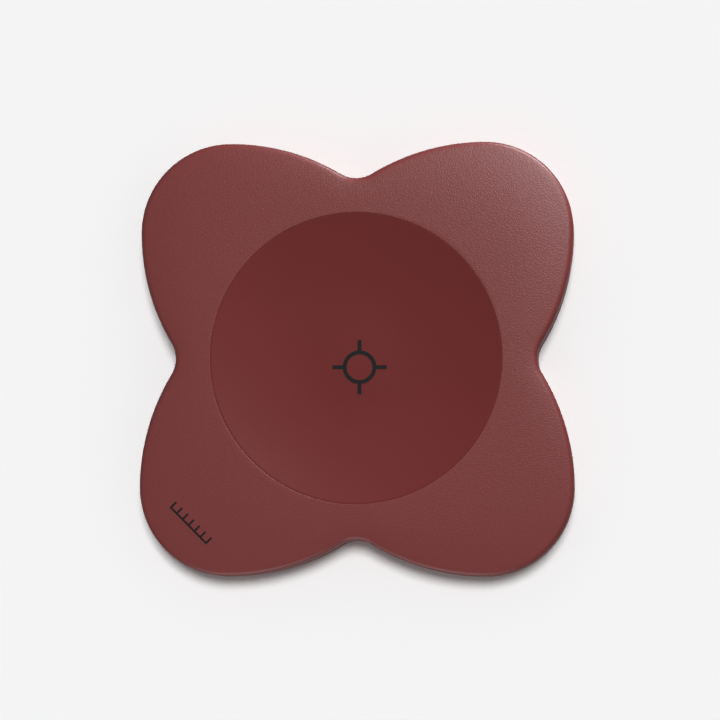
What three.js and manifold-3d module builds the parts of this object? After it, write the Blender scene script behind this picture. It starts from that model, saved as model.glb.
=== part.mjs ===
// A clover-shaped foam balance pad, lying flat as it is used: you stand on it with one foot on
// the round dish in the middle, and the four lobes stop it from tipping over.
//
// Seen from above, the outline is made of tangent arcs only: a tip arc on each lobe, a long
// flank arc on each side of it, and a small fillet in the notch between two lobes. The layers
// inside are the same outline drawn further in: moving a chain of tangent arcs inwards keeps
// every centre, and only adds to or takes from the radii.
//
// Millimetres, +Z up. The origin is in the middle of the underside, on the floor.

import * as THREE from "three";
import { mergeVertices } from "three/addons/utils/BufferGeometryUtils.js";
import Module from "manifold-3d";

const wasm = await Module();
wasm.setup();

// ---- Driving dimensions ----

// The outline.
const PAD_WIDTH = 400; // over two neighbouring lobes, the same along X and Y
const LOBE_RADIUS = 82; // the tip arc
const FLANK_RADIUS = 200; // the long arc from the tip towards the notch
const NOTCH_RADIUS = 27.5; // the fillet between two lobes

// The height and its layers.
const PAD_HEIGHT = 50; // floor to the top of the skin
const BASE_THICKNESS = 2; // anti-slip sheet
const SUPPORT_THICKNESS = 22; // firm foam on the base sheet
const SKIN_THICKNESS = 2.5; // grained skin, over the top and down the side
const TOP_ROUND = 6; // the skin's top edge
const BOTTOM_ROUND = 2; // the skin's bottom edge

// The round dish for the foot.
const DISC_RADIUS = 134;
const DISC_THICKNESS = 2.5;
const DISC_STEP = 0.3; // the disc's rim lies this far below the skin
const DISH_DEPTH = 10; // from the disc's rim down to the floor of the dish
const DISH_FLOOR_RADIUS = 36; // the flat middle of the dish, which carries the centre mark

// The printed marks: a ring with four ticks in the middle, and a plain scale on one lobe.
const INK_THICKNESS = 0.1;
const MARK_X = 3; // the middle of the ring, a little off the middle of the dish
const MARK_Y = -8;
const RING_RADIUS = 15.5; // outside
const RING_WIDTH = 3.6;
const TICK_REACH = 25; // from the middle to a tick's end
const TICK_WIDTH = 3.6;
const SCALE_TICKS = 7;
const SCALE_LENGTH = 48;
const SCALE_HEIGHT = 8;
const SCALE_LINE = 1.8; // how wide its lines are
const SCALE_FROM_TIP = 34.9; // from the lobe's tip in to the middle of the scale
const SCALE_ANGLE = -0.75 * Math.PI; // the lobe that carries it

// Clearances.
const GLUE_LINE = 0.3; // between glued faces
const DISC_CLEARANCE = 0.3; // around the disc, in the skin's window
const INK_GAP = 0.05; // keeps a mark and the face under it two separate bodies

// How finely the curves are cut into facets.
const TIP_STEPS = 12; // on each tip arc
const FLANK_STEPS = 6; // on each flank arc
const NOTCH_STEPS = 3; // on each half of a notch
const TOP_ROUND_STEPS = 4;
const BOTTOM_ROUND_STEPS = 2;
const DISC_STEPS = 72; // around the disc
const DISH_STEPS = 5; // from the dish's flat floor out to the rim
const OVERCUT = 20; // how far a cutting body runs past the faces that it opens

// ---- Outline ----

const QUARTER = Math.PI / 2;

function arc(x, y, radius, from, to, steps, clockwise = false) {
  return new THREE.ArcCurve(x, y, radius, from, to, clockwise).getPoints(steps);
}

// The clover outline, moved inwards by `inset`, as a THREE.Shape.
function clover(inset = 0) {
  const lobe = LOBE_RADIUS - inset;
  const flank = FLANK_RADIUS - inset;
  const notch = NOTCH_RADIUS + inset;
  // A tip arc's centre lies on the diagonal. A flank arc touches the pad's widest line where
  // the tip arc does, and the notch arc touches both flanks beside it, on the axis.
  const lobeAt = PAD_WIDTH / 2 - LOBE_RADIUS;
  const flankAt = PAD_WIDTH / 2 - FLANK_RADIUS;
  const reach = FLANK_RADIUS + NOTCH_RADIUS;
  const sweep = Math.asin(lobeAt / reach);
  const notchAt = flankAt + reach * Math.cos(sweep);
  // One quarter, from the notch on +X round the lobe to the notch on +Y.
  const quarter = [
    arc(notchAt, 0, notch, Math.PI, Math.PI - sweep, NOTCH_STEPS, true),
    arc(flankAt, lobeAt, flank, -sweep, 0, FLANK_STEPS),
    arc(lobeAt, lobeAt, lobe, 0, QUARTER, TIP_STEPS),
    arc(lobeAt, flankAt, flank, QUARTER, QUARTER + sweep, FLANK_STEPS),
    arc(0, notchAt, notch, sweep - QUARTER, -QUARTER, NOTCH_STEPS, true),
  ].flatMap((points) => points.slice(0, -1)); // each arc starts where the last one ended
  const middle = new THREE.Vector2();
  const points = [0, 1, 2, 3].flatMap((turn) =>
    quarter.map((point) => point.clone().rotateAround(middle, turn * QUARTER)),
  );
  return new THREE.Shape(points);
}

// ---- Solids ----

// A slab of a shape from one height to another, its edges rounded where `round` is given.
function slab(shape, low, high, round = 0, roundSteps = 0) {
  const geometry = new THREE.ExtrudeGeometry(shape, {
    depth: high - low - 2 * round,
    bevelEnabled: round > 0,
    bevelThickness: round,
    bevelSize: round,
    bevelOffset: -round,
    bevelSegments: roundSteps,
  });
  return geometry.translate(0, 0, low + round);
}

// A body of revolution about Z from [radius, height] corners, listed anticlockwise.
function turned(corners) {
  const profile = corners.map(([radius, height]) => new THREE.Vector2(radius, height));
  return new THREE.LatheGeometry(profile, DISC_STEPS).rotateX(QUARTER);
}

function toSolid(geometry) {
  const bare = geometry.clone().deleteAttribute("normal").deleteAttribute("uv");
  const merged = mergeVertices(bare, 1e-4);
  return new wasm.Manifold(
    new wasm.Mesh({
      numProp: 3,
      vertProperties: merged.getAttribute("position").array,
      triVerts: new Uint32Array(merged.index.array),
    }),
  );
}

function toGeometry(solid) {
  const mesh = solid.getMesh();
  const geometry = new THREE.BufferGeometry();
  geometry.setAttribute("position", new THREE.BufferAttribute(mesh.vertProperties, 3));
  geometry.setIndex(new THREE.BufferAttribute(mesh.triVerts, 1));
  geometry.computeVertexNormals();
  return geometry;
}

// ---- The dish ----

const rimHeight = PAD_HEIGHT - DISC_STEP;
const dishFloor = rimHeight - DISH_DEPTH;
const windowRadius = DISC_RADIUS + DISC_CLEARANCE;

// The dish's face from its middle out to the rim, lowered by `drop`: flat in the middle, then
// rising with the square of the distance from the flat.
function dishProfile(drop, rimRadius) {
  const rising = Array.from({ length: DISH_STEPS + 1 }, (_, step) => {
    const along = step / DISH_STEPS;
    const radius = DISH_FLOOR_RADIUS + along * (DISC_RADIUS - DISH_FLOOR_RADIUS);
    return [radius, dishFloor + DISH_DEPTH * along ** 2 - drop];
  });
  rising[DISH_STEPS][0] = rimRadius;
  return [[0, dishFloor - drop], ...rising];
}

// Everything above the lowered dish inside a cylinder: the disc's seat in the pieces below it.
function dishSeat(drop, rimRadius) {
  const top = PAD_HEIGHT + OVERCUT;
  return turned([...dishProfile(drop, rimRadius), [rimRadius, top], [0, top]]);
}

// ---- Heights of the layers ----

const supportLow = BASE_THICKNESS + GLUE_LINE;
const supportHigh = supportLow + SUPPORT_THICKNESS;
const comfortLow = supportHigh + GLUE_LINE;
const skinInside = PAD_HEIGHT - SKIN_THICKNESS;
const comfortHigh = skinInside - GLUE_LINE;
const fillInset = SKIN_THICKNESS + GLUE_LINE; // what lies inside the skin's side wall

// ---- Pieces ----

// One moulded skin over the top and down the side, with a round window for the disc. It is
// open underneath, where the base sheet closes it.
function outerSkin() {
  const topRounded = toSolid(
    slab(clover(), -TOP_ROUND - OVERCUT, PAD_HEIGHT, TOP_ROUND, TOP_ROUND_STEPS),
  );
  const bottomRounded = toSolid(
    slab(clover(), 0, PAD_HEIGHT + OVERCUT, BOTTOM_ROUND, BOTTOM_ROUND_STEPS),
  );
  const hollowRound = Math.max(TOP_ROUND - SKIN_THICKNESS, 1);
  const hollow = toSolid(
    slab(clover(SKIN_THICKNESS), -OVERCUT, skinInside, hollowRound, TOP_ROUND_STEPS),
  );
  const opening = toSolid(
    turned([
      [0, dishFloor - OVERCUT],
      [windowRadius, dishFloor - OVERCUT],
      [windowRadius, PAD_HEIGHT + OVERCUT],
      [0, PAD_HEIGHT + OVERCUT],
    ]),
  );
  return toGeometry(topRounded.intersect(bottomRounded).subtract(hollow).subtract(opening));
}

// The smooth round inlay that carries the foot: as thick everywhere, dished as a whole.
function centreDisc() {
  const face = dishProfile(0, DISC_RADIUS);
  const back = dishProfile(DISC_THICKNESS, DISC_RADIUS);
  return turned([...back, ...face.reverse()]);
}

// The soft upper foam, with the disc's seat sunk into its top.
function comfortFoam() {
  const round = Math.max(TOP_ROUND - fillInset, 1);
  const block = toSolid(
    slab(clover(fillInset), comfortLow - OVERCUT, comfortHigh, round, TOP_ROUND_STEPS),
  );
  const below = toSolid(slab(clover(0), comfortLow - 2 * OVERCUT, comfortLow));
  const seat = toSolid(dishSeat(DISC_THICKNESS + GLUE_LINE, windowRadius));
  return toGeometry(block.subtract(below).subtract(seat));
}

// The firm lower foam, a plain slab.
function supportFoam() {
  return slab(clover(fillInset), supportLow, supportHigh);
}

// The anti-slip sheet that closes the underside and lies on the floor.
function baseSheet() {
  return slab(clover(fillInset), 0, BASE_THICKNESS);
}

// A ring with four short ticks, printed on the flat middle of the dish.
function centreMark() {
  const half = TICK_WIDTH / 2;
  const root = Math.asin(half / RING_RADIUS); // where a tick's side leaves the ring
  const middle = new THREE.Vector2();
  const quarter = [
    new THREE.Vector2(TICK_REACH, -half),
    new THREE.Vector2(TICK_REACH, half),
    ...arc(0, 0, RING_RADIUS, root, QUARTER - root, TIP_STEPS),
  ];
  const outline = [0, 1, 2, 3].flatMap((turn) =>
    quarter.map((point) => point.clone().rotateAround(middle, turn * QUARTER)),
  );
  const shape = new THREE.Shape(outline);
  const hole = arc(0, 0, RING_RADIUS - RING_WIDTH, 0, 4 * QUARTER, 4 * TIP_STEPS);
  shape.holes.push(new THREE.Path(hole.slice(0, -1)));
  const low = dishFloor + INK_GAP;
  return slab(shape, low, low + INK_THICKNESS).translate(MARK_X, MARK_Y, 0);
}

// A base line with short upright ticks, like a ruler's, printed on the flat top of one lobe.
// It keeps its distance from the lobe's tip, which lies on the diagonal.
function lobeScale() {
  const pitch = (SCALE_LENGTH - SCALE_LINE) / (SCALE_TICKS - 1);
  const outline = [
    [0, 0],
    [SCALE_LENGTH, 0],
  ];
  for (let tick = SCALE_TICKS - 1; tick >= 0; tick -= 1) {
    const left = tick * pitch;
    outline.push([left + SCALE_LINE, SCALE_HEIGHT], [left, SCALE_HEIGHT]);
    if (tick > 0) outline.push([left, SCALE_LINE], [left - pitch + SCALE_LINE, SCALE_LINE]);
  }
  const shape = new THREE.Shape(outline.map(([x, y]) => new THREE.Vector2(x, y)));
  const low = PAD_HEIGHT + INK_GAP;
  const lobeTip = Math.SQRT2 * (PAD_WIDTH / 2 - LOBE_RADIUS) + LOBE_RADIUS;
  const distance = lobeTip - SCALE_FROM_TIP;
  return slab(shape, low, low + INK_THICKNESS)
    .translate(-SCALE_LENGTH / 2, -SCALE_HEIGHT / 2 - distance, 0)
    .rotateZ(SCALE_ANGLE + QUARTER);
}

// ---- Materials ----

function material(color, roughness) {
  return new THREE.MeshStandardMaterial({ color, roughness, metalness: 0 });
}

const grainedRed = material(0x7b4442, 0.6);
const smoothRed = material(0x672d2c, 0.45);
const softFoam = material(0x8a5450, 0.95);
const firmFoam = material(0x5c5351, 0.95);
const baseRubber = material(0x3a3435, 0.85);
const blackInk = material(0x1e2020, 0.5);

// ---- Assembly ----

const pad = new THREE.Group();

function add(name, geometry, surface) {
  const piece = new THREE.Mesh(geometry, surface);
  piece.name = name;
  pad.add(piece);
}

add("outer_skin", outerSkin(), grainedRed);
add("centre_disc", centreDisc(), smoothRed);
add("comfort_foam", comfortFoam(), softFoam);
add("support_foam", supportFoam(), firmFoam);
add("base_sheet", baseSheet(), baseRubber);
add("centre_mark", centreMark(), blackInk);
add("lobe_scale", lobeScale(), blackInk);

export default pad;
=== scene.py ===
# %% [markdown]
# # A clover-shaped foam balance pad
#
# The pad is a soft slab with four round lobes. One moulded skin with a fine leather grain runs
# over the top and down the side. A smooth round disc is let into its middle and dished a little,
# so that a bare foot finds its place. Two layers of foam fill it, and an anti-slip sheet with
# small nubs closes the underside.
#
# Every shape below is a surface worked out with numpy: a closed outline, moved inwards and up
# and down step by step, and the steps joined up as a grid of faces. That suits a moulded pad,
# because a mould is cut in the same way: one outline, one profile carried round it.

# %% Load the frame
import math

import bpy
import numpy as np
from mathutils import Matrix, Vector


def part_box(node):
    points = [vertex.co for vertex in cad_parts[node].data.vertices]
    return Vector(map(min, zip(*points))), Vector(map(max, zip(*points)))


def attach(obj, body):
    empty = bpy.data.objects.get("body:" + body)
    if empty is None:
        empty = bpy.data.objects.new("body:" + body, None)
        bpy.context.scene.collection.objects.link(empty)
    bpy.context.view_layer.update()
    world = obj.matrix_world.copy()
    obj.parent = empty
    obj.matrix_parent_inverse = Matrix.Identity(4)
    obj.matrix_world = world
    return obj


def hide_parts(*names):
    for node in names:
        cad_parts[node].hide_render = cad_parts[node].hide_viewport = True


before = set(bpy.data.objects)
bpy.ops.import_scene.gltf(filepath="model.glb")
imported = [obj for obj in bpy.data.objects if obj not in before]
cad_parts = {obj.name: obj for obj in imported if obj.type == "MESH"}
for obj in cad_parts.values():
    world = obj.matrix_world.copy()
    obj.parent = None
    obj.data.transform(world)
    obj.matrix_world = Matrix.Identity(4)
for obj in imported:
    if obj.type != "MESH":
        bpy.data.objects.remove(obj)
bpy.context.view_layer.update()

# %% [markdown]
# ## Sizes
#
# The pad's width and height, the disc's rim and the layers are read from the frame, so the
# surfaces fit the solids. The radii of the outline are the maker's own numbers, in metres, and
# so are the small features that the plain solids leave out: the lip of the window, the line
# where the mould closes, and the gentle fall of the lobes towards their edges.

# %% Sizes
MM = 0.001

skin_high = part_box("outer_skin")[1]
disc_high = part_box("centre_disc")[1]
base_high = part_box("base_sheet")[1]
comfort_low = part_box("comfort_foam")[0]
support_low, support_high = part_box("support_foam")
mark_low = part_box("centre_mark")[0]
scale_low, scale_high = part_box("lobe_scale")

HALF_WIDTH = skin_high[0]
HEIGHT = skin_high[2]
LOBE_RADIUS = 82 * MM
FLANK_RADIUS = 200 * MM
NOTCH_RADIUS = 27.5 * MM

GLUE = 0.3 * MM
FILL_INSET = HALF_WIDTH - base_high[0]
SKIN = FILL_INSET - GLUE
TOP_ROUND = 6 * MM
BOTTOM_ROUND = 2 * MM
EDGE_SLOPE = 0.12
FALL_POWER = 3
PARTING_HEIGHT = 13 * MM
PARTING_RIDGE = 0.3 * MM
PARTING_WIDTH = 0.5 * MM
PARTING_REACH = 1.6
PARTING_SHARPNESS = 2.2

DISC_RADIUS = disc_high[0]
DISC_TOP = disc_high[2]
DISC_THICKNESS = 2.5 * MM
MARK_LIFT = 0.05 * MM
DISH_FLOOR = mark_low[2] - MARK_LIFT
DISH_FLOOR_RADIUS = 36 * MM
DISC_LIP = 0.15 * MM
DISC_PLAY = 0.05 * MM
POLE_RADIUS = 4 * MM
WINDOW_RADIUS = DISC_RADIUS + GLUE
WINDOW_LIP = HEIGHT - DISC_TOP + DISC_LIP

AROUND = 720
TOP_ROWS = 26
SHOULDER_ROWS = 13
SIDE_ROWS = 9
DISC_ROWS = 60
DISC_AROUND = 360
print("half width", HALF_WIDTH, "height", HEIGHT, "skin", round(SKIN, 5), "disc", DISC_RADIUS)

# %% [markdown]
# ## The outline
#
# A clover like this can be drawn as a wavy polar curve, but then its lobes and notches have no
# radii to measure. Real tooling is made of arcs that touch: a round tip on each lobe, a long
# flank on each side of it and a small fillet in each notch. Chains of touching arcs have one
# more gift: to move the outline inwards, every point just slides along its own normal.

# %% The outline and its normals
def arc(x, y, radius, start, end, count, side=1.0):
    """Points of an arc, without its last one, and their outward normals: centre plus radius
    times the unit vector of the angle. side is -1 where the arc's centre is outside the pad."""
    angle = start + (end - start) * np.arange(count) / count
    ray = np.stack([np.cos(angle), np.sin(angle)], axis=1)
    return np.array([x, y]) + radius * ray, side * ray


def clover(count):
    """The pad's outline: one quarter of five tangent arcs, turned four times by 90 degrees."""
    lobe_at = HALF_WIDTH - LOBE_RADIUS
    flank_at = HALF_WIDTH - FLANK_RADIUS
    reach = FLANK_RADIUS + NOTCH_RADIUS
    sweep = math.asin(lobe_at / reach)
    notch_at = flank_at + reach * math.cos(sweep)
    right = math.pi / 2
    lengths = np.array([NOTCH_RADIUS * sweep, FLANK_RADIUS * sweep, LOBE_RADIUS * right / 2])
    share = lengths / (2 * lengths.sum())
    notch_n, flank_n = np.maximum(4, np.round(share[:2] * count / 4)).astype(int)
    tip_n = count // 4 - 2 * (notch_n + flank_n)
    pieces = [
        arc(notch_at, 0, NOTCH_RADIUS, math.pi, math.pi - sweep, notch_n, -1.0),
        arc(flank_at, lobe_at, FLANK_RADIUS, -sweep, 0, flank_n),
        arc(lobe_at, lobe_at, LOBE_RADIUS, 0, right, tip_n),
        arc(lobe_at, flank_at, FLANK_RADIUS, right, right + sweep, flank_n),
        arc(0, notch_at, NOTCH_RADIUS, sweep - right, -right, notch_n, -1.0),
    ]
    points = np.concatenate([p for p, _ in pieces])
    normals = np.concatenate([n for _, n in pieces])
    turns = [np.array([[c, s], [-s, c]]) for c, s in ((1, 0), (0, 1), (-1, 0), (0, -1))]
    return (
        np.concatenate([points @ t for t in turns]),
        np.concatenate([normals @ t for t in turns]),
    )


EDGE, NORMAL = clover(AROUND)


def inset(distance):
    """The outline moved inwards: each point slides along its normal by the distance."""
    return EDGE - distance * NORMAL


print("outline points", len(EDGE), "notch at", round(float(np.hypot(*EDGE[0])), 4))

# %% [markdown]
# ## Rings to faces
#
# Every closed piece here is a stack of rings with the same number of points: ring after ring,
# from a pole or a first ring to a last one. One helper joins neighbours with quads, closes the
# ends with a fan or with each other, and turns the faces outwards by the sign of the volume.

# %% The ring helper
def ring(flat, height):
    """A ring in space from flat points and one height, or a height for each point."""
    return np.column_stack([flat, np.broadcast_to(height, len(flat))])


def circle(radius, angle):
    """Points of a circle at the given angles."""
    return radius * np.stack([np.cos(angle), np.sin(angle)], axis=1)


def signed_volume(points, triangles):
    """A sixth of the sum of triple products: positive when the faces point outwards."""
    a, b, c = (points[triangles[:, k]] for k in range(3))
    return np.einsum("ij,ij->", a, np.cross(b, c)) / 6


def make_mesh(name, points, quads, triangles=None):
    """A mesh object from whole arrays of points, quads and triangles, faces outwards."""
    triangles = np.zeros((0, 3), int) if triangles is None else triangles
    every = np.concatenate([quads[:, [0, 1, 2]], quads[:, [0, 2, 3]], triangles])
    if signed_volume(points, every) < 0:
        quads, triangles = quads[:, ::-1], triangles[:, ::-1]
    loops = np.concatenate([quads.ravel(), triangles.ravel()])
    starts = np.concatenate(
        [4 * np.arange(len(quads)), 4 * len(quads) + 3 * np.arange(len(triangles))]
    )
    mesh = bpy.data.meshes.new(name)
    mesh.vertices.add(len(points))
    mesh.vertices.foreach_set("co", points.astype(np.float32).ravel())
    mesh.loops.add(len(loops))
    mesh.loops.foreach_set("vertex_index", loops.astype(np.int32))
    mesh.polygons.add(len(starts))
    mesh.polygons.foreach_set("loop_start", starts.astype(np.int32))
    mesh.polygons.foreach_set("use_smooth", np.ones(len(starts), bool))
    mesh.update(calc_edges=True)
    mesh.validate()
    piece = bpy.data.objects.new(name, mesh)
    bpy.context.collection.objects.link(piece)
    print(name, "faces", len(mesh.polygons))
    return piece


def stack(name, rings, poles=None):
    """Quads between neighbouring rings. With poles, a fan closes each end; without, the last
    ring joins the first, as in a shell whose inner face comes back to where it began."""
    rings = np.stack(rings)
    rows, around = rings.shape[:2]
    points = rings.reshape(-1, 3)
    column = np.arange(around)
    following = (column + 1) % around
    row = np.arange(rows if poles is None else rows - 1)[:, None]
    above = (row + 1) % rows
    quads = np.stack(
        [row * around + column, row * around + following,
         above * around + following, above * around + column], axis=-1,
    ).reshape(-1, 4)
    if poles is None:
        return make_mesh(name, points, quads)
    first, last = len(points), len(points) + 1
    top = (rows - 1) * around
    fans = np.concatenate([
        np.stack([following, column, np.full(around, first)], axis=1),
        np.stack([top + column, top + following, np.full(around, last)], axis=1),
    ])
    return make_mesh(name, np.vstack([points, poles]), quads, fans)


# %% [markdown]
# ## The skin's top
#
# A dead flat top would look like a board. A moulded pad falls away a little towards its edge,
# so the light slides over the lobes. Between the window and the edge the fall is the cube of
# the share of the way, which stays nearly flat round the window and meets the rounded edge at
# its slope.

# %% The skin's top surface
START_ANGLE = math.atan(EDGE_SLOPE)
shoulder = inset(TOP_ROUND * (1 - math.sin(START_ANGLE)))
theta = np.arctan2(shoulder[:, 1], shoulder[:, 0])
window = circle(WINDOW_RADIUS + WINDOW_LIP, theta)
top_width = np.hypot(*(shoulder - window).T)
FALL = EDGE_SLOPE * top_width / FALL_POWER


def top_ring(share, drop=0.0, outer=shoulder):
    """A ring of the top, a share of the way from the window to the shoulder, at the height
    less the fall times a power of the share."""
    flat = window + share * (outer - window)
    return ring(flat, HEIGHT - FALL * share**FALL_POWER - drop)


def top_height(x, y):
    """The same surface's height over any point of it, from its polar angle and distance."""
    order = np.argsort(theta)
    angle = np.arctan2(y, x)
    period = 2 * math.pi
    width = np.interp(angle, theta[order], top_width[order], period=period)
    share = (np.hypot(x, y) - WINDOW_RADIUS - WINDOW_LIP) / width
    return HEIGHT - EDGE_SLOPE * width / FALL_POWER * share**FALL_POWER


print("the lobes fall by", round(float(FALL.max()) * 1000, 2), "mm")

# %% [markdown]
# ## The grained skin
#
# The skin could be a flat sheet with Solidify, but its window lip, its rounded shoulder and the
# line where the two halves of the mould met are all in one profile. So the profile is carried
# round the outline: up the window's wall, over the lip, out across the top, over the shoulder,
# down the side past the mould line, round the foot, and back up inside.

# %% Build the skin
def skin_rings():
    """The closed profile of the skin, ring by ring."""
    inside = HEIGHT - SKIN
    quarter = np.linspace(0, math.pi / 2, 7)
    wall = np.linspace(inside, HEIGHT - WINDOW_LIP, 3)
    rings = [ring(circle(WINDOW_RADIUS, theta), z) for z in wall]
    for a in quarter[1:-1]:
        radius = WINDOW_RADIUS + WINDOW_LIP * (1 - math.cos(a))
        rings.append(ring(circle(radius, theta), HEIGHT - WINDOW_LIP * (1 - math.sin(a))))
    rings += [top_ring(share) for share in np.linspace(0, 1, TOP_ROWS)]
    centre = HEIGHT - FALL - TOP_ROUND * math.cos(START_ANGLE)
    for a in np.linspace(START_ANGLE, math.pi / 2, SHOULDER_ROWS)[1:]:
        side = PARTING_RIDGE * (a / (math.pi / 2)) ** 2
        shift = TOP_ROUND * (1 - math.sin(a)) + side
        rings.append(ring(inset(shift), centre + TOP_ROUND * math.cos(a)))
    ridge_top = PARTING_HEIGHT + 2 * PARTING_WIDTH
    for share in np.linspace(0, 1, SIDE_ROWS)[1:]:
        rings.append(ring(inset(PARTING_RIDGE), centre + share * (ridge_top - centre)))
    for offset in np.linspace(-PARTING_REACH, PARTING_REACH, SIDE_ROWS):
        shift = PARTING_RIDGE * (1 - math.exp(-(offset**2) * PARTING_SHARPNESS))
        rings.append(ring(inset(shift), PARTING_HEIGHT - offset * PARTING_WIDTH))
    for z in np.linspace(PARTING_HEIGHT - 2 * PARTING_WIDTH, BOTTOM_ROUND, 6):
        rings.append(ring(inset(PARTING_RIDGE), z))
    for a in quarter[1:]:
        shift = (BOTTOM_ROUND - PARTING_RIDGE) * (1 - math.cos(a)) + PARTING_RIDGE
        rings.append(ring(inset(shift), BOTTOM_ROUND * (1 - math.sin(a))))
    rings.append(ring(inset(SKIN), 0.0))
    for share in np.linspace(0, 1, 5)[1:]:
        rings.append(ring(inset(SKIN), share * centre))
    inner_round = TOP_ROUND - SKIN
    for a in np.linspace(math.pi / 2, START_ANGLE, 7)[1:]:
        shift = SKIN + inner_round * (1 - math.sin(a))
        rings.append(ring(inset(shift), centre + inner_round * math.cos(a)))
    within = inset(SKIN + inner_round * (1 - math.sin(START_ANGLE)))
    rings += [top_ring(share, SKIN, within) for share in np.linspace(1, 0, 8)[1:]]
    return rings


outer_skin = stack("grained_skin_shell", skin_rings())

# %% [markdown]
# ## The disc
#
# The disc is a body of revolution, so its rings are circles. Its middle is flat for the mark,
# and from there it rises with the square of the distance, which is the shape that a springy
# sheet takes over a shallow bowl. Its rim is rounded and lies a hair below the skin: the two
# rounded edges make the fine light and dark line round the dish.

# %% Build the disc
def dish_height(radius):
    """The dish's face: flat to its floor's radius, then a parabola up to the rim."""
    along = np.clip((radius - DISH_FLOOR_RADIUS) / (DISC_RADIUS - DISH_FLOOR_RADIUS), 0, None)
    return DISH_FLOOR + (DISC_TOP - DISH_FLOOR) * along**2


def disc_rings():
    """From the middle of the face out over the rounded rim, and back underneath."""
    turn = np.linspace(0, 2 * math.pi, DISC_AROUND, endpoint=False)
    rim_radius = WINDOW_RADIUS - DISC_PLAY
    lip_start = rim_radius - DISC_LIP
    rim = dish_height(lip_start)
    radii = list(np.linspace(POLE_RADIUS, lip_start, DISC_ROWS))
    heights = list(dish_height(np.array(radii)))
    for a in np.linspace(0, math.pi / 2, 7)[1:]:
        radii.append(lip_start + DISC_LIP * math.sin(a))
        heights.append(rim - DISC_LIP * (1 - math.cos(a)))
    back = np.linspace(rim_radius, POLE_RADIUS, 24)
    radii += list(back)
    heights += list(dish_height(back) - DISC_THICKNESS)
    return [ring(circle(r, turn), z) for r, z in zip(radii, heights)]


disc = stack(
    "smooth_disc", disc_rings(), [[0, 0, DISH_FLOOR], [0, 0, DISH_FLOOR - DISC_THICKNESS]]
)

# %% [markdown]
# ## The foam
#
# Both layers are die-cut slabs inside the skin. The upper one is soft and carries the disc's
# seat; the lower one is firm. Nobody sees them on a whole pad, but a part has to come apart
# without showing a hole, so each is a closed body with its own face of fine cells.

# %% Build the foam layers
def comfort_rings():
    """Up the side from the underside, over the rounded shoulder, in across the top, and down
    into the seat that the disc lies in."""
    low = comfort_low[2]
    rings = [ring(inset(FILL_INSET) * share, low) for share in np.linspace(0.1, 1, 6)]
    centre = HEIGHT - FALL - TOP_ROUND * math.cos(START_ANGLE)
    inner_round = TOP_ROUND - FILL_INSET
    for share in np.linspace(0, 1, 5)[1:]:
        rings.append(ring(inset(FILL_INSET), low + share * (centre - low)))
    for a in np.linspace(math.pi / 2, START_ANGLE, 7)[1:]:
        shift = FILL_INSET + inner_round * (1 - math.sin(a))
        rings.append(ring(inset(shift), centre + inner_round * math.cos(a)))
    within = inset(FILL_INSET + inner_round * (1 - math.sin(START_ANGLE)))
    rings += [top_ring(share, FILL_INSET, within) for share in np.linspace(1, 0, 8)[1:]]
    for radius in np.linspace(WINDOW_RADIUS, 0.01, 20):
        depth = dish_height(min(radius, DISC_RADIUS)) - DISC_THICKNESS - GLUE
        rings.append(ring(circle(radius, theta), depth))
    return rings


comfort = stack(
    "soft_foam_layer",
    comfort_rings(),
    [[0, 0, comfort_low[2]], [0, 0, DISH_FLOOR - DISC_THICKNESS - GLUE]],
)


def slab_rings(low, high, rows=5):
    """A plain die-cut slab: in to out at the bottom, up the side, and out to in at the top."""
    shares = np.linspace(0.1, 1, 6)
    flat = inset(FILL_INSET)
    rings = [ring(flat * share, low) for share in shares]
    rings += [ring(flat, z) for z in np.linspace(low, high, rows)[1:-1]]
    return rings + [ring(flat * share, high) for share in shares[::-1]]


support = stack(
    "firm_foam_layer",
    slab_rings(support_low[2], support_high[2]),
    [[0, 0, support_low[2]], [0, 0, support_high[2]]],
)

# %% [markdown]
# ## The anti-slip sheet
#
# The sheet grips the floor with rows of flat-topped nubs. A bump map would vanish in profile,
# so the nubs are real: one small cap of few faces, repeated on a staggered grid wherever the
# clover has room for it. The copies are made by adding two arrays, not by a loop.

# %% Build the anti-slip sheet
NUB_DEPTH = 0.7 * MM
NUB_PITCH = 8 * MM
NUB_RADII = np.array([2.4, 2.3, 1.9]) * MM
NUB_HEIGHTS = np.array([1.0, 0.45, 0.08]) * MM
NUB_SIDES = 8
NUB_MARGIN = 7 * MM

sheet = stack(
    "base_sheet_body",
    slab_rings(NUB_DEPTH, base_high[2], rows=3),
    [[0, 0, NUB_DEPTH], [0, 0, base_high[2]]],
)


def nub_places():
    """A staggered grid of points, kept where they lie inside the outline with a margin."""
    half = int(HALF_WIDTH / NUB_PITCH) + 2
    i, j = np.meshgrid(np.arange(-half, half), np.arange(-half * 2, half * 2))
    x = (i + 0.5 * (j % 2)) * NUB_PITCH
    y = j * NUB_PITCH * math.sqrt(3) / 2
    limit = inset(FILL_INSET + NUB_MARGIN)
    angle = np.arctan2(limit[:, 1], limit[:, 0])
    order = np.argsort(angle)
    far = np.hypot(*limit.T)[order]
    reach = np.interp(np.arctan2(y, x), angle[order], far, period=2 * math.pi)
    keep = np.hypot(x, y) < reach
    return np.stack([x[keep], y[keep]], axis=1)


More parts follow.
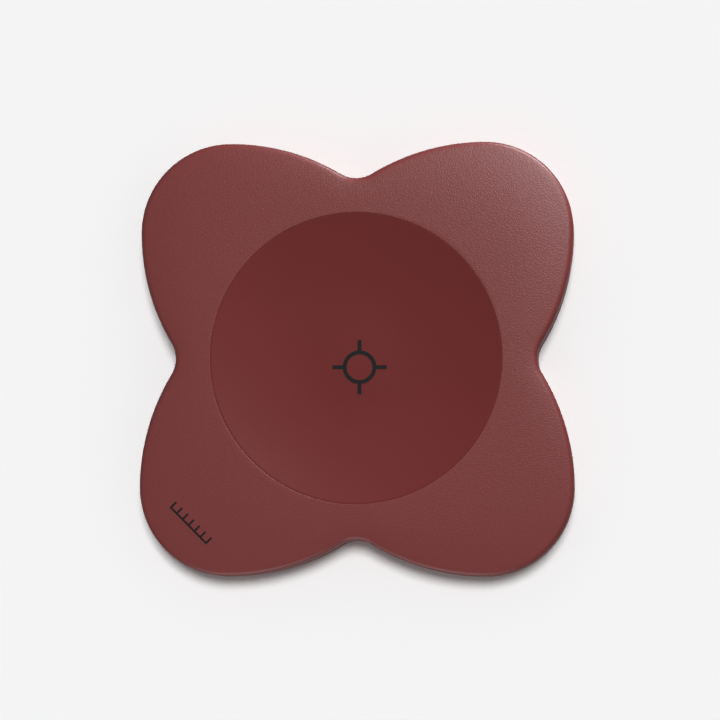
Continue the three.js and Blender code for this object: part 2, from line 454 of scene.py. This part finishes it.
def make_nubs():
    """One cap's points, added to every place, and its faces, shifted by each copy's start."""
    turn = np.linspace(0, 2 * math.pi, NUB_SIDES, endpoint=False)
    cap = [ring(circle(r, turn), z) for r, z in zip(NUB_RADII, NUB_HEIGHTS)]
    cap = np.vstack(cap + [[[0, 0, NUB_HEIGHTS[0]]], [[0, 0, 0]]])
    places = nub_places()
    offsets = np.column_stack([places, np.zeros(len(places))])
    points = (offsets[:, None] + cap[None]).reshape(-1, 3)
    column = np.arange(NUB_SIDES)
    following = (column + 1) % NUB_SIDES
    rows = len(NUB_RADII)
    quads = np.concatenate([
        np.stack([k * NUB_SIDES + column, k * NUB_SIDES + following,
                  (k + 1) * NUB_SIDES + following, (k + 1) * NUB_SIDES + column], axis=1)
        for k in range(rows - 1)
    ])
    top, foot = rows * NUB_SIDES, rows * NUB_SIDES + 1
    last = (rows - 1) * NUB_SIDES
    fans = np.concatenate([
        np.stack([following, column, np.full(NUB_SIDES, top)], axis=1),
        np.stack([last + column, last + following, np.full(NUB_SIDES, foot)], axis=1),
    ])
    shift = (np.arange(len(places)) * len(cap))[:, None, None]
    print("nubs", len(places))
    every_quad = (quads[None] + shift).reshape(-1, 4)
    every_fan = (fans[None] + shift).reshape(-1, 3)
    return make_mesh("base_sheet_nubs", points, every_quad, every_fan)


nubs = make_nubs()

# %% [markdown]
# ## The printed scale
#
# The two marks are printed films. The one in the middle lies on the dish's flat floor, so the
# plain solid from the frame is already right. The scale on the lobe has to follow the lobe's
# fall, so it is drawn again: each bar is a small grid laid on the skin, then given its film's
# thickness.

# %% Build the printed scale
SCALE_TICKS = 7
SCALE_LENGTH = 48 * MM
SCALE_HEIGHT = 8 * MM
SCALE_LINE = 1.8 * MM
SCALE_MIDDLE = np.add(scale_low, scale_high) / 2
SCALE_DISTANCE = float(np.hypot(*SCALE_MIDDLE[:2]))
SCALE_TURN = -math.pi / 4
FILM_LIFT = 0.04 * MM
FILM_THICKNESS = 0.1 * MM


def bar(left, right, low, high, columns, rows):
    """A rectangle of the scale as a grid, turned and moved onto the lobe, and laid on it."""
    u, v = np.meshgrid(np.linspace(left, right, columns), np.linspace(low, high, rows))
    across = u - SCALE_LENGTH / 2
    out = v - SCALE_HEIGHT / 2 - SCALE_DISTANCE
    c, s = math.cos(SCALE_TURN), math.sin(SCALE_TURN)
    x = across * c - out * s
    y = across * s + out * c
    points = np.stack([x, y, top_height(x, y) + FILM_LIFT], axis=-1).reshape(-1, 3)
    i = np.arange(rows - 1)[:, None] * columns + np.arange(columns - 1)
    quads = np.stack([i, i + 1, i + columns + 1, i + columns], axis=-1).reshape(-1, 4)
    return points, quads


def make_scale():
    """The base line and its ticks as one mesh of open grids, thickened by Solidify."""
    pitch = (SCALE_LENGTH - SCALE_LINE) / (SCALE_TICKS - 1)
    bars = [bar(0, SCALE_LENGTH, 0, SCALE_LINE, 61, 3)]
    for tick in range(SCALE_TICKS):
        left = tick * pitch
        bars.append(bar(left, left + SCALE_LINE, SCALE_LINE, SCALE_HEIGHT, 3, 9))
    starts = np.cumsum([0] + [len(p) for p, _ in bars[:-1]])
    points = np.concatenate([p for p, _ in bars])
    faces = np.concatenate([q + s for (_, q), s in zip(bars, starts)])
    mesh = bpy.data.meshes.new("printed_scale")
    mesh.from_pydata(points.tolist(), [], faces.tolist())
    piece = bpy.data.objects.new("printed_scale", mesh)
    bpy.context.collection.objects.link(piece)
    film = piece.modifiers.new("film", "SOLIDIFY")
    film.thickness = FILM_THICKNESS
    film.offset = 1.0
    print("printed_scale bars", len(bars))
    return piece


scale = make_scale()

# %% [markdown]
# ## Finishes
#
# All finishes are node materials on object coordinates, so they stay put when the camera moves.
# The skin and the disc are the same soft plastic. What sets them apart is the mould's surface:
# etched with a leather grain it scatters the light into a pale veil, polished it keeps its
# deep colour.

# %% Material helpers
def new_material(name, color, roughness, specular=0.5):
    """A Principled material, and its nodes to build on."""
    material = bpy.data.materials.new(name)
    material.use_nodes = True
    nodes = material.node_tree.nodes
    shader = nodes["Principled BSDF"]
    shader.inputs["Base Color"].default_value = (*color, 1)
    shader.inputs["Roughness"].default_value = roughness
    shader.inputs["Specular IOR Level"].default_value = specular
    return material, nodes, material.node_tree.links, shader


def object_texture(nodes, links, kind, scale, **settings):
    """A procedural texture that reads object coordinates, in pattern repeats per metre."""
    coordinates = nodes.new("ShaderNodeTexCoord")
    texture = nodes.new(kind)
    texture.inputs["Scale"].default_value = scale
    for key, value in settings.items():
        texture.inputs[key].default_value = value
    links.new(coordinates.outputs["Object"], texture.inputs["Vector"])
    return texture


def mottled(nodes, links, shader, dark, light, scale):
    """The base colour drifts between two near shades with a slow noise."""
    noise = object_texture(nodes, links, "ShaderNodeTexNoise", scale, Detail=3.0)
    mix = nodes.new("ShaderNodeMix")
    mix.data_type = "RGBA"
    mix.inputs["A"].default_value = (*dark, 1)
    mix.inputs["B"].default_value = (*light, 1)
    links.new(noise.outputs["Fac"], mix.inputs["Factor"])
    links.new(mix.outputs["Result"], shader.inputs["Base Color"])


def add_bump(nodes, links, shader, height, strength, distance):
    """Raises the shading normal by a height output."""
    bump = nodes.new("ShaderNodeBump")
    bump.inputs["Strength"].default_value = strength
    bump.inputs["Distance"].default_value = distance
    links.new(height, bump.inputs["Height"])
    links.new(bump.outputs["Normal"], shader.inputs["Normal"])


# %% [markdown]
# ## Six finishes
#
# A leather grain could be a plain noise, but noise has no creases. Cells with sunk borders do,
# so the skin's relief is the distance to the border of a cell, cut off early to leave flat
# pebbles. The foams have smaller and deeper cells, and the print only drifts in its black.

# %% Skin, foam, rubber and print
GRAIN_SCALE = 420
GRAIN_DEPTH = 0.06 * MM


def grained_skin():
    """Leather grain: flat pebbles with fine creases between them, broken up by finer noise."""
    color = (0.12, 0.0142, 0.0135)
    material, nodes, links, shader = new_material("grained_skin", color, 0.42, 0.44)
    mottled(nodes, links, shader, (0.116, 0.0134, 0.0127), (0.124, 0.015, 0.0143), 40)
    pebbles = object_texture(nodes, links, "ShaderNodeTexVoronoi", GRAIN_SCALE)
    pebbles.feature = "DISTANCE_TO_EDGE"
    creases = nodes.new("ShaderNodeMapRange")
    creases.interpolation_type = "SMOOTHSTEP"
    creases.inputs["From Max"].default_value = 0.25
    links.new(pebbles.outputs["Distance"], creases.inputs["Value"])
    fine = object_texture(nodes, links, "ShaderNodeTexNoise", 3 * GRAIN_SCALE, Detail=2.0)
    blend = nodes.new("ShaderNodeMath")
    blend.operation = "ADD"
    links.new(creases.outputs["Result"], blend.inputs[0])
    links.new(fine.outputs["Fac"], blend.inputs[1])
    add_bump(nodes, links, shader, blend.outputs[0], 1.0, GRAIN_DEPTH)
    return material


def smooth_skin():
    """The polished disc: deep colour, satin gloss, hardly any relief."""
    material, nodes, links, shader = new_material("smooth_skin", (0.106, 0.0126, 0.0118), 0.4, 0.2)
    mottled(nodes, links, shader, (0.103, 0.012, 0.0112), (0.109, 0.0132, 0.0124), 25)
    ripple = object_texture(nodes, links, "ShaderNodeTexNoise", 120, Detail=2.0)
    add_bump(nodes, links, shader, ripple.outputs["Fac"], 0.05, 0.5 * MM)
    return material


def foam(name, dark, light, cell):
    """Foam: matt, with a face of small cells."""
    material, nodes, links, shader = new_material(name, light, 0.95, 0.2)
    mottled(nodes, links, shader, dark, light, 60)
    cells = object_texture(nodes, links, "ShaderNodeTexVoronoi", cell)
    add_bump(nodes, links, shader, cells.outputs["Distance"], 0.6, 0.6 * MM)
    return material


def base_rubber():
    """Anti-slip rubber: near black, matt, with a fine moulded tooth."""
    material, nodes, links, shader = new_material("base_rubber", (0.045, 0.036, 0.037), 0.8, 0.4)
    mottled(nodes, links, shader, (0.04, 0.032, 0.033), (0.05, 0.04, 0.041), 50)
    tooth = object_texture(nodes, links, "ShaderNodeTexNoise", 1500, Detail=2.0)
    add_bump(nodes, links, shader, tooth.outputs["Fac"], 0.3, 0.3 * MM)
    return material


def black_print():
    """Printed film: black with a little grey where it is worn thin, satin."""
    material, nodes, links, shader = new_material("black_print", (0.006, 0.006, 0.006), 0.5, 0.12)
    mottled(nodes, links, shader, (0.004, 0.0045, 0.0045), (0.008, 0.008, 0.008), 300)
    return material


FINISHES = {
    "grained_skin": grained_skin(),
    "smooth_skin": smooth_skin(),
    "soft_foam": foam("soft_foam", (0.22, 0.085, 0.078), (0.28, 0.11, 0.1), 900),
    "firm_foam": foam("firm_foam", (0.095, 0.08, 0.075), (0.125, 0.1, 0.095), 1200),
    "base_rubber": base_rubber(),
    "black_print": black_print(),
}
print("finishes", sorted(FINISHES))

# %% [markdown]
# ## Assembly
#
# Each piece stands for its plain solid, takes its finish, and rides on the pad's one body.

# %% Assemble
PIECES = [
    (outer_skin, "grained_skin", ["outer_skin"]),
    (disc, "smooth_skin", ["centre_disc"]),
    (comfort, "soft_foam", ["comfort_foam"]),
    (support, "firm_foam", ["support_foam"]),
    (sheet, "base_rubber", ["base_sheet"]),
    (nubs, "base_rubber", []),
    (scale, "black_print", ["lobe_scale"]),
]
for piece, slot, nodes_replaced in PIECES:
    piece.data.materials.append(FINISHES[slot])
    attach(piece, "root")
    if nodes_replaced:
        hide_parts(*nodes_replaced)

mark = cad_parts["centre_mark"]
mark.data.materials.clear()
mark.data.materials.append(FINISHES["black_print"])

# %% [markdown]
# ## Floor
#
# The floor is a wide sheet of pale paper. Its full white would throw so much light up at the
# pad's side that the side would look flat. So the camera sees the paper's own white, and every
# other ray sees a darker one, as if black cards stood just out of view.

# %% Floor
FLOOR_COLOR = 0.945
FLOOR_BOUNCE = 0.4
FLOOR_REACH = 8.0


def make_floor():
    """A wide pale plane at the height that the pad rests on."""
    mesh = bpy.data.meshes.new("floor")
    reach = FLOOR_REACH
    corners = [(-reach, -reach, 0), (reach, -reach, 0), (reach, reach, 0), (-reach, reach, 0)]
    mesh.from_pydata(corners, [], [(0, 1, 2, 3)])
    floor = bpy.data.objects.new("floor", mesh)
    bpy.context.collection.objects.link(floor)
    material, nodes, links, shader = new_material("floor_paper", (FLOOR_COLOR,) * 3, 1.0, 0.0)
    path = nodes.new("ShaderNodeLightPath")
    mix = nodes.new("ShaderNodeMix")
    mix.data_type = "RGBA"
    mix.inputs["A"].default_value = (FLOOR_BOUNCE, FLOOR_BOUNCE, FLOOR_BOUNCE, 1)
    mix.inputs["B"].default_value = (FLOOR_COLOR, FLOOR_COLOR, FLOOR_COLOR, 1)
    links.new(path.outputs["Is Camera Ray"], mix.inputs["Factor"])
    links.new(mix.outputs["Result"], shader.inputs["Base Color"])
    floor.data.materials.append(material)
    return floor


floor = make_floor()

# %% [markdown]
# ## Light
#
# A soft dome lamp overhead lights floor and pad alike and makes the small shadow; the world adds
# a little light from all sides. A low strip beyond the far right corner rakes over the face, so
# that the dish, the lobes' edges and the grain can be read, and a weaker strip on the near side
# keeps the near edges from going dead. Both strips are flagged off the floor, or it would show
# two bright corners. A small softbox high over the far right corner gives the grained skin its
# pale sheen.

# %% Light
WORLD_STRENGTH = 0.22
DOME_SHARE = 0.76
DOME_PLACE = (0.07, 0.2, 1.0)
DOME_SPREAD = math.radians(16)
HORIZON_FADE = 0.6
STRIP_HEIGHT = 0.15
RAKING_PLACE = (0.62, 1.07, 0.19)
RAKING_WIDTH = 0.7
RAKING_SHARE = 1.35
NEAR_PLACE = (-0.15, -1.2, 0.14)
NEAR_WIDTH = 1.0
NEAR_SHARE = 0.3
SHEEN_PLACE = (0.58, 0.8, 1.32)
SHEEN_SIZE = 0.3
SHEEN_SHARE = 0.62


def make_world():
    """Plain light from all sides. The camera sees it as the pale backdrop, and the gloss sees
    that backdrop too, fading to the plain light where a ray runs low over the floor."""
    world = bpy.data.worlds.new("studio")
    bpy.context.scene.world = world
    world.use_nodes = True
    nodes, links = world.node_tree.nodes, world.node_tree.links
    background = nodes["Background"]
    background.inputs["Color"].default_value = (1, 1, 1, 1)
    path = nodes.new("ShaderNodeLightPath")
    coordinates = nodes.new("ShaderNodeTexCoord")
    split = nodes.new("ShaderNodeSeparateXYZ")
    links.new(coordinates.outputs["Generated"], split.inputs["Vector"])
    fade = nodes.new("ShaderNodeMapRange")
    fade.interpolation_type = "SMOOTHSTEP"
    fade.inputs["From Max"].default_value = HORIZON_FADE
    links.new(split.outputs["Z"], fade.inputs["Value"])
    gloss = nodes.new("ShaderNodeMath")
    gloss.operation = "MULTIPLY"
    links.new(path.outputs["Is Glossy Ray"], gloss.inputs[0])
    links.new(fade.outputs["Result"], gloss.inputs[1])
    seen = nodes.new("ShaderNodeMath")
    seen.operation = "MAXIMUM"
    strength = nodes.new("ShaderNodeMix")
    strength.inputs["A"].default_value = WORLD_STRENGTH
    strength.inputs["B"].default_value = FLOOR_COLOR
    links.new(path.outputs["Is Camera Ray"], seen.inputs[0])
    links.new(gloss.outputs["Value"], seen.inputs[1])
    links.new(seen.outputs["Value"], strength.inputs["Factor"])
    links.new(strength.outputs["Result"], background.inputs["Strength"])


def make_lamp(name, kind, place=(0, 0, 1)):
    """A lamp at a place, aimed at the middle of the pad."""
    lamp = bpy.data.lights.new(name, kind)
    obj = bpy.data.objects.new(name, lamp)
    bpy.context.collection.objects.link(obj)
    obj.location = place
    obj.rotation_euler = Vector(place).to_track_quat("Z", "Y").to_euler()
    return obj


def make_dome():
    """A soft lamp far overhead. It gives a level white floor its share of white."""
    lamp = make_lamp("dome", "SUN", DOME_PLACE)
    lamp.data.angle = DOME_SPREAD
    lamp.data.energy = math.pi * DOME_SHARE
    lamp.visible_glossy = False


def lamp_power(share, place):
    """The watts at which a white card in the middle of the pad, turned to the lamp, would send
    back the share of white: the share times the square of (pi times the distance)."""
    return share * (math.pi * math.dist(place, (0, 0, 0))) ** 2


def make_strip(name, place, width, share):
    """A low strip softbox, flagged off the floor, so that it lights only the pad."""
    lamp = make_lamp(name, "AREA", place)
    lamp.data.shape = "RECTANGLE"
    lamp.data.size = width
    lamp.data.size_y = STRIP_HEIGHT
    lamp.data.energy = lamp_power(share, place)
    flag = bpy.data.collections.new(name + "_flag")
    flag.objects.link(floor)
    lamp.light_linking.receiver_collection = flag
    flag.collection_objects[0].light_linking.link_state = "EXCLUDE"


def make_sheen_lamp():
    """A softbox high over the same corner that only the gloss sees."""
    lamp = make_lamp("sheen_lamp", "AREA", SHEEN_PLACE)
    lamp.data.shape = "DISK"
    lamp.data.size = SHEEN_SIZE
    lamp.data.energy = lamp_power(SHEEN_SHARE, SHEEN_PLACE)
    lamp.visible_diffuse = False


make_world()
make_dome()
make_strip("raking_strip", RAKING_PLACE, RAKING_WIDTH, RAKING_SHARE)
make_strip("near_strip", NEAR_PLACE, NEAR_WIDTH, NEAR_SHARE)
make_sheen_lamp()

# %% [markdown]
# ## Camera
#
# The camera looks down at the face from nearly straight above, a few degrees from the right and
# from below, through a long lens, which keeps the four lobes the same size.

# %% Camera
CAMERA_DISTANCE = 2.857
CAMERA_HEIGHT = 40 * MM
CAMERA_YAW = math.radians(-4.36)
CAMERA_PITCH = math.radians(-4.33)
CAMERA_ROLL = math.radians(-0.107)
FOCAL_SHARE = 4.3139
SENSOR_WIDTH = 36.0
SHIFT_X = 0.0052
SHIFT_Y = -0.0021


def make_camera():
    """Turned about the pad by roll, yaw and pitch. The focal length over the sensor's width is
    the camera's distance times the share of the picture that the pad fills."""
    roll = np.array([[math.cos(CAMERA_ROLL), math.sin(CAMERA_ROLL), 0],
                     [-math.sin(CAMERA_ROLL), math.cos(CAMERA_ROLL), 0], [0, 0, 1]])
    yaw = np.array([[math.cos(CAMERA_YAW), 0, -math.sin(CAMERA_YAW)], [0, 1, 0],
                    [math.sin(CAMERA_YAW), 0, math.cos(CAMERA_YAW)]])
    pitch = np.array([[1, 0, 0], [0, math.cos(CAMERA_PITCH), math.sin(CAMERA_PITCH)],
                      [0, -math.sin(CAMERA_PITCH), math.cos(CAMERA_PITCH)]])
    axes = roll @ yaw @ pitch
    data = bpy.data.cameras.new("camera")
    data.sensor_width = SENSOR_WIDTH
    data.lens = SENSOR_WIDTH * FOCAL_SHARE
    data.shift_x = SHIFT_X
    data.shift_y = SHIFT_Y
    camera = bpy.data.objects.new("camera", data)
    bpy.context.collection.objects.link(camera)
    place = CAMERA_DISTANCE * axes[:, 2] + np.array([0, 0, CAMERA_HEIGHT])
    matrix = np.eye(4)
    matrix[:3, :3] = axes
    matrix[:3, 3] = place
    camera.matrix_world = Matrix(matrix.tolist())
    bpy.context.scene.camera = camera


make_camera()
bpy.context.scene.view_settings.view_transform = "Standard"
